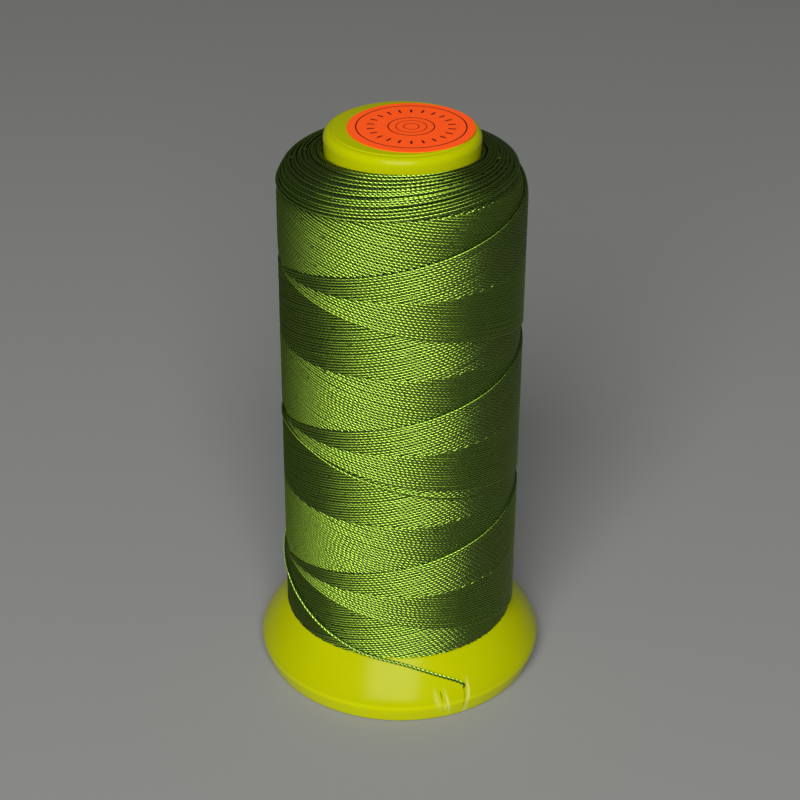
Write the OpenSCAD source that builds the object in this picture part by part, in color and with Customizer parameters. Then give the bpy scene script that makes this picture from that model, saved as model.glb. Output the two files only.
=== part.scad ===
// Spool of twisted line: a bell-shaped foot, a barrel, a pressed-in cap with a paper label, and
// the wound line, whose free end is caught in a slit in the rim of the foot.
// Millimetres, +Z up, the front is -Y. The origin is on the axis, at the underside of the foot.
// An azimuth is counted in degrees from the front towards +X.

/* [Line] */
// Diameter of the twisted line
line_d = 0.5; // [0.4:0.05:0.55]
// Turns of the line drawn on the outside of the package
outer_turns = 24; // [10:1:24]

/* [Package] */
// Diameter of the wound package just below its shoulder
package_d = 42.9; // [40:0.1:45]
// How much narrower the package is where it meets the foot
package_taper = 0.5; // [0:0.1:1.5]
// Height over which the shoulder of the package rounds in to the cap
shoulder_h = 7.1; // [4:0.1:12]
// Squareness of that shoulder, 2 being an ellipse
shoulder_power = 2.6; // [2:0.1:3.2]

/* [Foot] */
// Diameter of the foot at the corner of its rim, before that is rounded
foot_d = 52.5; // [51:0.1:60]
// Diameter of the foot where it stands
foot_stand_d = 50; // [48:0.5:51]
// Height of the widest ring of the foot
rim_h = 3.7; // [2.5:0.1:4.5]
// Height at which the package meets the foot
foot_h = 10.95; // [10:0.05:14]
// How far the upper side of the foot bulges past a straight cone
foot_crown = 0.4; // [0:0.1:0.8]
// Length of the rounding on the edge of the rim
rim_round = 0.9; // [0.3:0.1:1.2]
// Thickness of the foot's wall
foot_wall = 1.6; // [1.2:0.1:2]
// Rise of the foot's top from the package's edge to the barrel
seat_rise = 2.05; // [1:0.05:4]

/* [Spindle] */
// Diameter of the bore that a spindle passes through
bore_d = 16; // [14:0.5:16]
// Height above the floor at which the hub round the bore starts
hub_start = 2; // [1:0.5:5]
// Length of the spigot that stands up inside the barrel
spigot_l = 12; // [8:1:20]
// Diameter of the spindle hole in the cap
cap_hole_d = 8; // [5:0.5:10]

/* [Barrel] */
// Outer diameter of the barrel
barrel_d = 22; // [21:0.5:24]
// Wall of the barrel
barrel_wall = 1.5; // [1.2:0.1:1.6]
// Length of the barrel
barrel_l = 90.2; // [75:0.1:110]

/* [Cap] */
// Diameter of the cap at its widest
cap_d = 26.8; // [26:0.1:29]
// Height of the cap left standing above the wound line
cap_show = 4.8; // [4:0.1:6]
// Depth to which the cap's skirt sinks into the wound line
cap_sunk = 0.9; // [0.5:0.1:1.5]
// Height of the rounding from the cap's top to its widest ring
cap_round_h = 2; // [1:0.1:3]
// How much the skirt narrows below the widest ring, on the radius
cap_draft = 0.2; // [0:0.05:0.4]
// Diameter of the raised flat disc on the cap
disc_d = 23.7; // [22:0.1:25]
// Height of that disc above the cap's shoulder
disc_step = 0.2; // [0.1:0.05:0.4]
// Thickness of the plate under the disc
cap_plate = 2; // [1.5:0.1:3]
// Length of the plug that fits into the barrel
plug_l = 9; // [5:0.5:14]
// Wall of that plug
plug_wall = 1.4; // [1:0.1:2]

/* [Label] */
// Diameter of the paper label
label_d = 21.65; // [18:0.05:22]
// Thickness of the label
label_t = 0.12; // [0.08:0.02:0.2]
// How far off the axis the label was stuck on, to the right
label_dx = 1.45; // [0:0.05:2]
// How far off the axis it was stuck on, to the front
label_dy = 0.1; // [0:0.05:1]

/* [Line catch] */
// Azimuth of the slit that holds the line
slit_az = 27.5; // [25:0.5:30]
// Height of the slit that holds the line
slit_h = 6.2; // [6:0.05:6.6]
// Play between the line and the walls of its slit
slit_play = 0.02; // [0.01:0.01:0.05]
// Azimuth of the slit that frees the other side of the tongue
relief_az = 18.8; // [17:0.1:20]
// Height of the relief slit
relief_h = 6.3; // [6:0.05:6.6]
// Width of the relief slit
relief_w = 0.2; // [0.1:0.05:0.4]
// Height of the tongue's root, which it bends about
tongue_h = 5.6; // [5:0.05:5.7]
// Gap left at the root so that the tongue can turn
root_gap = 0.03; // [0.02:0.01:0.06]

/* [Fits] */
// Gap between pieces that are pushed or wound onto each other
fit_gap = 0.02; // [0.01:0.01:0.05]

/* [Hidden] */

lime = [0.70, 0.75, 0.03];
line_green = [0.33, 0.50, 0.16];
core_green = [0.20, 0.31, 0.12];
label_orange = [1.0, 0.33, 0.10];

round_fn = 96;        // facets of round shapes in the preview
turn_rings = 24;      // rings of the tube in each outer turn
turn_sides = 6;       // sides of that tube
tail_sides = 8;       // sides of the tail's tube
stand_round = 0.4;    // rounding of the edges that the foot stands on
crown_start = 0.12;   // share of the foot's upper side that the rim's rounding takes
crown_end = 0.9;      // share of the foot's upper side that its inner wall follows
lead_in = 0.6;        // chamfer on the ends of the spigot and the plug
tongue_reach = 2;     // how far the cuts for the tongue run past the foot
cut_over = 1;         // how far a cutting shape runs past what it cuts

foot_r = foot_d / 2;
foot_stand_r = foot_stand_d / 2;
package_r = package_d / 2;
neck_r = package_r - package_taper / 2;
barrel_r = barrel_d / 2;
barrel_in_r = barrel_r - barrel_wall;
bore_r = bore_d / 2;
hub_r = bore_r + barrel_wall;
cap_r = cap_d / 2;
disc_r = disc_d / 2;
plug_r = barrel_in_r - fit_gap;
seat_z = foot_h + seat_rise;
barrel_top = seat_z + barrel_l;
cap_top = barrel_top + cap_plate;
shoulder_top = cap_top - cap_show;
cap_low = shoulder_top - cap_sunk;
shoulder_z = shoulder_top - shoulder_h;
slit_w = line_d + 2 * slit_play;
// A turn of few rings runs inside its circle by this much between two rings
turn_sag = package_r * (1 - cos(180 / turn_rings));
// Depth of the plain core below the outside of the package
core_drop = line_d + turn_sag + fit_gap;

// Route of the free end, as azimuth, radius and height of the line's middle: out from under the
// outer turns, down round the package, across the foot and down into the slit
tail_route = [
    [-118, 21.00, 25.2], [-113, 21.05, 24.8], [-108, 21.30, 24.3], [-103, 21.50, 23.7],
    [-98, 21.50, 23.1], [-93, 21.50, 22.4], [-88, 21.50, 21.7], [-83, 21.50, 21.0],
    [-78, 21.50, 20.3], [-73, 21.50, 19.7], [-68, 21.50, 18.9], [-63, 21.50, 18.1],
    [-58, 21.50, 17.3], [-53, 21.50, 16.5], [-48, 21.50, 15.7], [-43, 21.50, 14.9],
    [-38, 21.50, 14.2], [-33, 21.50, 13.6], [-28, 21.50, 12.9], [-23, 21.50, 12.2],
    [-18, 21.50, 11.65], [-13, 21.52, 11.3], [-8, 21.62, 11.0], [-4, 21.80, 10.8],
    [0, 22.02, 10.55], [4, 22.32, 10.2], [8, 22.70, 9.77], [12, 23.15, 9.25],
    [16, 23.62, 8.65], [20, 24.10, 8.0], [23, 24.48, 7.45], [25.3, 24.78, 6.95],
    [26.7, 25.06, 6.6], [27.4, 25.22, 6.25], [27.5, 25.20, 5.7], [27.5, 25.18, 5.0],
    [27.5, 25.05, 4.0], [27.5, 24.85, 3.0], [27.5, 24.65, 2.0], [27.5, 24.45, 1.0]];

function unit(v) = v / norm(v);
function mix(a, b, t) = a + (b - a) * t;
function at_azimuth(az, r, z) = [r * sin(az), -r * cos(az), z];

// Points of a curve that rounds the corner b of the path a-b-c, starting `cut` away from it
function round_corner(a, b, c, cut, steps = 5) =
    let(from = b + unit(a - b) * cut, to = b + unit(c - b) * cut)
    [for (i = [0:steps]) let(t = i / steps) mix(mix(from, b, t), mix(b, to, t), t)];

// The foot's upper side: a cone from the rim to the package, bulging by foot_crown
rim_corner = [foot_r, rim_h];
neck_corner = [neck_r, foot_h];
crown_normal = unit([foot_h - rim_h, foot_r - neck_r]);
function crown(t) = mix(rim_corner, neck_corner, t) + crown_normal * foot_crown * 4 * t * (1 - t);

// The package's outside, from the foot up and over the shoulder to the cap
shoulder_in = cap_r + fit_gap;
shoulder_steps = 14;
function shoulder(t) = [
    shoulder_in + (package_r - shoulder_in) * pow(cos(90 * t), 2 / shoulder_power),
    shoulder_z + shoulder_h * pow(sin(90 * t), 2 / shoulder_power)];
package_side = concat(
    [[neck_r, foot_h]],
    [for (i = [0:shoulder_steps]) shoulder(i / shoulder_steps)]);

// Unit normal of a path at its point i, pointing away from the axis and up
function path_normal(p, i) =
    let(d = unit(p[min(i + 1, len(p) - 1)] - p[max(i - 1, 0)])) [d[1], -d[0]];

// Length of a path, and the point, its direction aside, that lies `s` along it
function path_length(p, i = 0) =
    i >= len(p) - 1 ? 0 : norm(p[i + 1] - p[i]) + path_length(p, i + 1);
function path_place(p, s, i = 0) =
    let(d = norm(p[i + 1] - p[i]))
    s <= d || i >= len(p) - 2
        ? let(along = unit(p[i + 1] - p[i])) [p[i] + along * s, [along[1], -along[0]]]
        : path_place(p, s - d, i + 1);

// The outer turns: one run of the line that climbs the package at a steady pitch
turns_start_z = foot_h + 2 * line_d;
turns_start = turns_start_z - foot_h;
turns_run = path_length(package_side) - turns_start - 2 * line_d;
turns_phase = 40;
function turn_point(u) =
    let(place = path_place(package_side, turns_start + turns_run * u),
        mid = place[0] - place[1] * line_d / 2)
    at_azimuth(turns_phase + 360 * outer_turns * u, mid[0], mid[1]);
turn_steps = outer_turns * turn_rings;
turns_wound = [for (i = [0:turn_steps]) turn_point(i / turn_steps)];
turns_path = concat(
    [turns_wound[0] + unit(turns_wound[0] - turns_wound[1]) * line_d],
    turns_wound,
    [turns_wound[turn_steps] + unit(turns_wound[turn_steps] - turns_wound[turn_steps - 1]) * line_d]);

// Least gap between one turn and the next, measured from ring to ring
turn_gap = min([for (i = [0:turn_steps - turn_rings / 2])
    min([for (j = [turn_rings / 2:min(turn_rings * 3 / 2, turn_steps - i)])
        norm(turns_wound[i + j] - turns_wound[i]) - line_d])]);
echo(least_gap_between_turns_mm = turn_gap);

tail_path = [for (p = tail_route) at_azimuth(p[0], p[1], p[2])];
echo(tail_length_mm = path_length(tail_path));

// A closed tube along a path; `reference` is a direction that the path never runs in
module tube(path, r, sides, reference) {
    last = len(path) - 1;
    points = [for (i = [0:last])
        let(run = unit(path[min(i + 1, last)] - path[max(i - 1, 0)]),
            side = unit(cross(run, reference)),
            up = cross(side, run))
        for (k = [0:sides - 1]) let(a = 360 * k / sides)
            path[i] + side * r * cos(a) + up * r * sin(a)];
    walls = [for (i = [0:last - 1]) for (k = [0:sides - 1])
        let(a = i * sides + k, b = i * sides + (k + 1) % sides)
        each [[a, b, b + sides], [a, b + sides, a + sides]]];
    near_end = [for (k = [1:sides - 2]) [0, k + 1, k]];
    far_end = [for (k = [1:sides - 2]) let(o = last * sides) [o, o + k, o + k + 1]];
    polyhedron(points, concat(walls, near_end, far_end), convexity = 10);
}

module turned(points) {
    rotate_extrude($fn = round_fn) polygon(points);
}

// The wall of the foot before it is slit: bell, hub and spigot in one moulding
module foot_moulding() {
    skirt_in = foot_stand_r - foot_wall;
    rim_in = [foot_r - foot_wall, rim_h];
    spigot_top = seat_z + spigot_l;
    turned(concat(
        round_corner([skirt_in, 0], [foot_stand_r, 0], rim_corner, stand_round),
        round_corner([foot_stand_r, 0], rim_corner, crown(crown_start), rim_round),
        [for (t = [crown_start * 2:0.08:1]) crown(t)],
        [neck_corner,
         [barrel_r, seat_z],
         [plug_r, seat_z],
         [plug_r, spigot_top - lead_in],
         [plug_r - lead_in, spigot_top],
         [bore_r, spigot_top],
         [bore_r, hub_start],
         [hub_r, hub_start],
         [hub_r, seat_z - foot_wall],
         neck_corner - [foot_wall * 1.1, foot_wall * 0.85]],
        [for (t = [crown_end:-0.15:crown_start]) crown(t) - crown_normal * foot_wall],
        [rim_in],
        round_corner(rim_in, [skirt_in, 0], [foot_stand_r, 0], stand_round)));
}

// A straight cut through the wall, in the plane of the axis, up to height h
module radial_slit(az, w, h) {
    rotate([0, 0, az - 90])
        translate([0, -w / 2, -cut_over])
            cube([foot_r + tongue_reach, w, h + cut_over]);
}

// The sector between the middles of the two slits, up to height h
module tongue_sector(h) {
    reach = foot_r + tongue_reach;
    translate([0, 0, -cut_over])
        linear_extrude(height = h + cut_over)
            polygon([[0, 0],
                     [reach * sin(relief_az), -reach * cos(relief_az)],
                     [reach * sin(slit_az), -reach * cos(slit_az)]]);
}

// Space outside the hub, in which the slits and the tongue lie
module outside_hub() {
    difference() {
        translate([0, 0, -2 * cut_over])
            cylinder(r = foot_r + 2 * tongue_reach, h = seat_z, $fn = round_fn);
        translate([0, 0, -3 * cut_over])
            cylinder(r = (hub_r + neck_r) / 2, h = seat_z + 2 * cut_over, $fn = round_fn);
    }
}

module slits() {
    radial_slit(slit_az, slit_w, slit_h);
    radial_slit(relief_az, relief_w, relief_h);
}

module foot_flange() {
    color(lime)
        difference() {
            foot_moulding();
            intersection() {
                outside_hub();
                union() {
                    slits();
                    tongue_sector(tongue_h);
                }
            }
        }
}

// The tongue of the rim between the two slits, which bends to let the line in
module catch_tongue() {
    color(lime)
        intersection() {
            foot_moulding();
            difference() {
                intersection() {
                    outside_hub();
                    tongue_sector(tongue_h - root_gap);
                }
                slits();
            }
        }
}

module barrel_tube() {
    color(lime)
        translate([0, 0, seat_z])
            difference() {
                cylinder(r = barrel_r, h = barrel_l, $fn = round_fn);
                translate([0, 0, -cut_over])
                    cylinder(r = barrel_in_r, h = barrel_l + 2 * cut_over, $fn = round_fn);
            }
}

module top_cap() {
    edge_z = cap_top - disc_step;
    widest_z = edge_z - cap_round_h;
    disc_corner = [disc_r, cap_top];
    color(lime)
        turned(concat(
            [[cap_hole_d / 2, cap_top]],
            round_corner([0, cap_top], disc_corner, [disc_r, edge_z], disc_step / 2, 3),
            [for (a = [90:-10:0])
                [disc_r + (cap_r - disc_r) * cos(a), widest_z + cap_round_h * sin(a)]],
            [[cap_r - cap_draft, cap_low],
             [barrel_r + fit_gap, cap_low],
             [barrel_r + fit_gap, barrel_top],
             [plug_r, barrel_top],
             [plug_r, barrel_top - plug_l + lead_in],
             [plug_r - lead_in, barrel_top - plug_l],
             [plug_r - plug_wall, barrel_top - plug_l],
             [plug_r - plug_wall, barrel_top],
             [cap_hole_d / 2, barrel_top]]));
}

module paper_label() {
    color(label_orange)
        translate([label_dx, -label_dy, cap_top])
            cylinder(r = label_d / 2, h = label_t, $fn = round_fn);
}

// All the buried turns as one plain body, which the outer turns lie on
module wound_line_core() {
    low_slope = (seat_z - foot_h) / (neck_r - barrel_r);
    low_r = neck_r - core_drop;
    side_points = len(package_side) - 1;
    color(core_green)
        turned(concat(
            [[barrel_r + fit_gap, seat_z + fit_gap],
             [low_r, foot_h + core_drop * low_slope + fit_gap]],
            [for (i = [1:side_points])
                package_side[i] - path_normal(package_side, i) * core_drop],
            [[shoulder_in, cap_low - fit_gap],
             [barrel_r + fit_gap, cap_low - fit_gap]]));
}

module wound_line_outer() {
    color(line_green) tube(turns_path, line_d / 2, turn_sides, [0, 0, 1]);
}

// The free end of the line, held in the slit beside the tongue
module line_tail() {
    color(line_green) tube(tail_path, line_d / 2, tail_sides, [1, 0, 1]);
}

foot_flange();
catch_tongue();
barrel_tube();
top_cap();
paper_label();
wound_line_core();
wound_line_outer();
line_tail();
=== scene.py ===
"""Spool of twisted nylon line: the finished pieces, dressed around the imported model.

The wound package is laid turn by turn, as the winding machine laid it: every stroke of the line
rests on what was wound before it, and only the stretches that stay in sight become geometry.
Lengths inside the winding are millimetres, and every mesh is in metres in the frame of the model:
+Z up, the front is -Y, the origin on the axis at the underside of the foot. An azimuth is counted
from the front towards +X.
"""

from __future__ import annotations

import logging
import math
from collections.abc import Callable
from dataclasses import dataclass, field
from enum import Enum

import bmesh
import bpy
import numpy as np
from mathutils import Matrix, Vector

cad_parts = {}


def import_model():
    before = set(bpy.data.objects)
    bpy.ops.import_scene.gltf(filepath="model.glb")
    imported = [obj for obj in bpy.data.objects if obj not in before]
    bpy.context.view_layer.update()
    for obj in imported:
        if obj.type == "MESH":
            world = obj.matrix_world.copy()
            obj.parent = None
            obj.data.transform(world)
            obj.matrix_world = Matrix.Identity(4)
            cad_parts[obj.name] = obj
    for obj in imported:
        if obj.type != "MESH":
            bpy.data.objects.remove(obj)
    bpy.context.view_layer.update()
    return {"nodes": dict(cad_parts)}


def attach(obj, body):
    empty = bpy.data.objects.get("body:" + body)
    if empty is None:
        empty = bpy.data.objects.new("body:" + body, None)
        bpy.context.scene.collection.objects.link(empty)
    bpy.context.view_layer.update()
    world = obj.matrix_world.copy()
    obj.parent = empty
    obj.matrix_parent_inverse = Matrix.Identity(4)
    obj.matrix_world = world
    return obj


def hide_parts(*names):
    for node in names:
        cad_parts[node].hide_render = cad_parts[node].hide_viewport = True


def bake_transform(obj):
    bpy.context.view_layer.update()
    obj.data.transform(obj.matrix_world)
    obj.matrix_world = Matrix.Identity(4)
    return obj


log = logging.getLogger("spool")

MM = 0.001
SPOOL = "spool"
# Degrees between two faces from which the edge of a turned part stays sharp
SHARP_ANGLE = 32.0
# Height in the map of the winding where no strand lies
NOTHING = -9.0

# Values or links for the sockets of a node
Sockets = dict[str | int, object]
# Radii and heights
Profile = list[tuple[float, float]]
# Azimuth of a column of points, and their numbers
Column = tuple[float, list[int]]
# Turns azimuth, radius and height into those of the finished point, with how pale it is
Warp = Callable[[float, float, float], tuple[float, float, float]]


# ---------------------------------------------------------------------------------------- helpers


def linear(hex_colour: str) -> tuple[float, float, float, float]:
    """Turn an sRGB hex value into linear light.

    Args:
        hex_colour: six hex digits, such as "b4be00".

    Returns:
        Red, green, blue and an alpha of 1.
    """
    parts = [int(hex_colour[i : i + 2], 16) / 255 for i in (0, 2, 4)]
    return (*(c / 12.92 if c <= 0.04045 else ((c + 0.055) / 1.055) ** 2.4 for c in parts), 1.0)


def at_azimuth(azimuth: float, radius: float, z: float) -> Vector:
    """Place a point given in degrees and millimetres.

    Args:
        azimuth: degrees from the front towards +X.
        radius: distance from the axis.
        z: height above the floor.

    Returns:
        The point in metres.
    """
    turn = math.radians(azimuth)
    return Vector((radius * math.sin(turn), -radius * math.cos(turn), z)) * MM


def widen(marks: np.ndarray, reach: int) -> np.ndarray:
    """Widen each run of true values by a number of places on both sides."""
    return np.convolve(marks, np.ones(2 * reach + 1), mode="same") > 0.5


def smooth(share: np.ndarray | float) -> np.ndarray:
    """Ease from 0 to 1 while the share goes from 0 to 1."""
    share = np.clip(share, 0.0, 1.0)
    return share * share * (3 - 2 * share)


def near(value: float, middle: float, wide: float) -> float:
    """Bell curve that is 1 at the middle and falls off over a width."""
    return math.exp(-(((value - middle) / wide) ** 2))


def add_node(
    tree: bpy.types.NodeTree,
    kind: str,
    settings: dict[str, object] | None = None,
    inputs: Sockets | None = None,
) -> bpy.types.Node:
    """Add a shader node with its settings and links.

    Args:
        tree: the node tree it goes into.
        kind: the node's type, such as "ShaderNodeTexNoise".
        settings: values of the node's own properties.
        inputs: values of its sockets, or an output socket to link to them.

    Returns:
        The new node.
    """
    node = tree.nodes.new(kind)
    for name, value in (settings or {}).items():
        setattr(node, name, value)
    for name, value in (inputs or {}).items():
        socket = node.inputs[name]
        if isinstance(value, bpy.types.NodeSocket):
            tree.links.new(value, socket)
        else:
            socket.default_value = value
    return node


def place_mesh(name: str, mesh: bpy.types.Mesh, material: bpy.types.Material) -> bpy.types.Object:
    """Link a finished mesh into the scene, at the origin.

    Args:
        name: the piece's name.
        mesh: its mesh, in the model's frame.
        material: its finish.

    Returns:
        The new object.
    """
    mesh.name = name
    mesh.materials.clear()
    mesh.materials.append(material)
    piece = bpy.data.objects.new(name, mesh)
    bpy.context.scene.collection.objects.link(piece)
    return piece


def fit_piece(
    name: str, mesh: bpy.types.Mesh, material: bpy.types.Material, node: str
) -> bpy.types.Object:
    """Place a piece that turns with the spool and stands for one of its nodes.

    Args:
        name: the piece's name.
        mesh: its mesh, in the model's frame.
        material: its finish.
        node: the node that it replaces.

    Returns:
        The new object.
    """
    piece = place_mesh(name, mesh, material)
    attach(piece, SPOOL)
    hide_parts(node)
    return piece


def mesh_from(bm: bmesh.types.BMesh, sharp_angle: float = 180.0) -> bpy.types.Mesh:
    """Turn a bmesh into a smooth-shaded mesh and free it.

    Args:
        bm: the bmesh.
        sharp_angle: degrees from which an edge stays sharp.

    Returns:
        The mesh.
    """
    mesh = bpy.data.meshes.new("piece")
    bm.to_mesh(mesh)
    bm.free()
    mesh.shade_smooth()
    mesh.set_sharp_from_angle(angle=math.radians(sharp_angle))
    return mesh


# --------------------------------------------------------------------------------------- finishes


# Node types with their settings. A colour mix takes its share on socket 0 and its two colours on
# sockets 6 and 7.
COLOUR_MIX = ("ShaderNodeMix", {"data_type": "RGBA"})
EASED_RANGE = ("ShaderNodeMapRange", {"interpolation_type": "SMOOTHSTEP"})


@dataclass(frozen=True)
class Finish:
    """A matt surface of one plain colour, and what every other finish starts from."""

    name: str
    colour: str
    roughness: float
    gloss: float = 0.5

    def sockets(self, tree: bpy.types.NodeTree) -> Sockets:
        """Work out what goes into the shader.

        Args:
            tree: the node tree, for the nodes that the finish needs; a plain finish does not use
                it.

        Returns:
            A value or a link for each socket of the shader.
        """
        return {
            "Base Color": linear(self.colour),
            "Roughness": self.roughness,
            "Specular IOR Level": self.gloss,
        }

    def build(self) -> bpy.types.Material:
        """Build the material.

        Returns:
            The material, whose node tree is one shader and what goes into it.
        """
        material = bpy.data.materials.new(self.name)
        material.use_nodes = True
        tree = material.node_tree
        tree.nodes.clear()
        shader = add_node(tree, "ShaderNodeBsdfPrincipled", inputs=self.sockets(tree))
        add_node(tree, "ShaderNodeOutputMaterial", inputs={"Surface": shader.outputs[0]})
        return material


@dataclass(frozen=True)
class LimePlastic(Finish):
    """Injection-moulded polystyrene in lime, smooth with a slight orange peel.

    Round the rim of the foot, where the plastic is thinnest, its colour is painted paler: a painted
    glow for the light that comes through it there. Where it was bent it has gone pale too; the
    "stress" attribute of a mesh says how much.
    """

    name: str = "lime_polystyrene"
    colour: str = "a3a900"
    deep: str = "999e00"
    crazed: str = "d9dc9a"
    # Painted light: the paler colour painted on the rim of the foot, between these heights in mm
    painted_rim_glow: str = "b9bf00"
    painted_rim_glow_z: tuple[float, float] = (3.2, 4.3)
    roughness: float = 0.2
    gloss: float = 0.33
    ior: float = 1.2
    cloud_mm: float = 18.0
    peel_mm: float = 2.2
    peel_depth_mm: float = 0.05
    peel_strength: float = 0.06

    def sockets(self, tree: bpy.types.NodeTree) -> Sockets:
        """Colour the plastic and dimple its surface.

        Args:
            tree: the node tree, for the nodes that the finish needs.

        Returns:
            A value or a link for each socket of the shader.
        """
        place = add_node(tree, "ShaderNodeTexCoord").outputs["Object"]
        clouds, peel = (
            add_node(
                tree,
                "ShaderNodeTexNoise",
                inputs={"Vector": place, "Scale": 1 / (size * MM), "Detail": detail},
            ).outputs["Fac"]
            for size, detail in ((self.cloud_mm, 2.0), (self.peel_mm, 1.0))
        )
        height = add_node(tree, "ShaderNodeSeparateXYZ", inputs={0: place}).outputs["Z"]
        # Painted glow: the rim of the foot is painted paler between these heights
        low, high = (z * MM for z in self.painted_rim_glow_z)
        painted_rim_glow_share = add_node(tree, *EASED_RANGE, {"Value": height, "From Min": low, "From Max": high})
        stress = add_node(tree, "ShaderNodeAttribute", {"attribute_name": "stress"})
        tone = linear(self.colour)
        tone = add_node(tree, *COLOUR_MIX, {0: clouds, 6: linear(self.deep), 7: tone}).outputs[2]
        lit = {0: painted_rim_glow_share.outputs["Result"], 6: linear(self.painted_rim_glow), 7: tone}
        tone = add_node(tree, *COLOUR_MIX, lit).outputs[2]
        bent = {0: stress.outputs["Fac"], 6: tone, 7: linear(self.crazed)}
        tone = add_node(tree, *COLOUR_MIX, bent).outputs[2]
        bump = {"Strength": self.peel_strength, "Distance": self.peel_depth_mm * MM, "Height": peel}
        return {
            **super().sockets(tree),
            "Base Color": tone,
            "IOR": self.ior,
            "Normal": add_node(tree, "ShaderNodeBump", inputs=bump).outputs["Normal"],
        }


@dataclass(frozen=True)
class NylonLine(Finish):
    """Twisted nylon filament, dyed green.

    The filaments lie side by side along each ply, so that the light spreads across them and stays
    narrow along them. The "fibre" attribute of a mesh is their direction, and its "ply" attribute
    is 0 in the grooves between the plies and 1 on their crests; it masks a painted shade, dark in
    the grooves.
    """

    name: str = "twisted_nylon_filament"
    colour: str = "a9d23a"
    dull: str = "9bc132"
    # Painted shade: the dark colour painted into the grooves between the plies
    groove: str = "1c2b12"
    groove_shade_reach: tuple[float, float] = (0.1, 0.85)
    mottle_mm: float = 0.9
    roughness: float = 0.34
    metallic: float = 0.98
    ior: float = 1.53
    anisotropic: float = 1.0
    quarter_turn: float = 0.25
    coat: float = 0.6
    coat_roughness: float = 0.5

    def sockets(self, tree: bpy.types.NodeTree) -> Sockets:
        """Colour the plies and lay the sheen across their filaments.

        Args:
            tree: the node tree, for the nodes that the finish needs.

        Returns:
            A value or a link for each socket of the shader.
        """
        place = add_node(tree, "ShaderNodeTexCoord").outputs["Object"]
        noise = {"Vector": place, "Scale": 1 / (self.mottle_mm * MM), "Detail": 3.0}
        mottle = add_node(tree, "ShaderNodeTexNoise", inputs=noise).outputs["Fac"]
        dyes = {0: mottle, 6: linear(self.dull), 7: linear(self.colour)}
        dyed = add_node(tree, *COLOUR_MIX, dyes).outputs[2]
        ply, fibre = (
            add_node(tree, "ShaderNodeAttribute", {"attribute_name": name})
            for name in ("ply", "fibre")
        )
        # Painted shade in the grooves, fading to the dyed colour towards the crests
        low, high = self.groove_shade_reach
        reach = {"Value": ply.outputs["Fac"], "From Min": low, "From Max": high}
        crest = add_node(tree, *EASED_RANGE, reach).outputs["Result"]
        shaded = add_node(tree, *COLOUR_MIX, {0: crest, 6: linear(self.groove), 7: dyed})
        return {
            **super().sockets(tree),
            "Base Color": shaded.outputs[2],
            "Metallic": self.metallic,
            "IOR": self.ior,
            "Anisotropic": self.anisotropic,
            "Anisotropic Rotation": self.quarter_turn,
            "Tangent": fibre.outputs["Vector"],
            "Coat Weight": self.coat,
            "Coat Roughness": self.coat_roughness,
        }


@dataclass(frozen=True)
class LabelPaper(Finish):
    """Coated label paper printed solid orange, with plain dark-red rings and a ring of dashes.

    Its coating gives it a weak, broad shine, so that the print keeps its colour. A ring is its
    middle radius and its width in millimetres, and a dash is a share of its turn.
    """

    name: str = "printed_label_paper"
    colour: str = "ff5818"
    ink: str = "5c1018"
    roughness: float = 0.5
    gloss: float = 0.2
    middle: tuple[float, float] = (1.45, 0.1)
    rings: tuple[tuple[float, float], ...] = ((9.3, 0.24), (3.9, 0.22), (2.6, 0.16), (1.3, 0.16))
    dash_ring: tuple[float, float] = (6.9, 1.3)
    dashes: int = 22
    dash_share: float = 0.2

    def sockets(self, tree: bpy.types.NodeTree) -> Sockets:
        """Print the rings on the paper.

        Args:
            tree: the node tree, for the nodes that the finish needs.

        Returns:
            A value or a link for each socket of the shader.
        """
        place = add_node(tree, "ShaderNodeTexCoord").outputs["Object"]
        x, y = (-at * MM for at in self.middle)
        moved = {0: place, 1: (1.0, 1.0, 0.0), 2: (x, y, 0.0)}
        flat = add_node(tree, "ShaderNodeVectorMath", {"operation": "MULTIPLY_ADD"}, moved)
        flat = {0: flat.outputs[0]}
        radius = add_node(tree, "ShaderNodeVectorMath", {"operation": "LENGTH"}, flat)
        split = add_node(tree, "ShaderNodeSeparateXYZ", inputs=flat).outputs
        dash_steps = [
            ("ARCTAN2", {1: split[1]}),
            ("MULTIPLY", {1: self.dashes / (2 * math.pi)}),
            ("PINGPONG", {1: 0.5}),
            ("COMPARE", {1: 0.0, 2: self.dash_share / 2}),
        ]
        ring_steps = []
        for at, wide in (self.dash_ring, *self.rings):
            band = {0: radius.outputs["Value"], 1: at * MM, 2: wide / 2 * MM}
            ring = add_node(tree, "ShaderNodeMath", {"operation": "COMPARE"}, band)
            # The dashes are cut out of the first ring, and the others are added to them
            ring_steps.append(("MAXIMUM" if ring_steps else "MULTIPLY", {1: ring.outputs[0]}))
        ink = split[0]
        for operation, others in dash_steps + ring_steps:
            operands = {0: ink, **others}
            ink = add_node(tree, "ShaderNodeMath", {"operation": operation}, operands).outputs[0]
        tones = {0: ink, 6: linear(self.colour), 7: linear(self.ink)}
        tone = add_node(tree, *COLOUR_MIX, tones).outputs[2]
        return {**super().sockets(tree), "Base Color": tone}


# Uncoated background paper, which shows the shadow and no reflection
FLOOR_PAPER = Finish("background_paper", "868684", 0.9)
# Nylon line deep in the package, painted dark as the shade that shows between the strands
BURIED_LINE_SHADE = Finish("buried_line_painted_shade", "24340f", 0.8, 0.1)


# ----------------------------------------------------------------------------------------- studio


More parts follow.
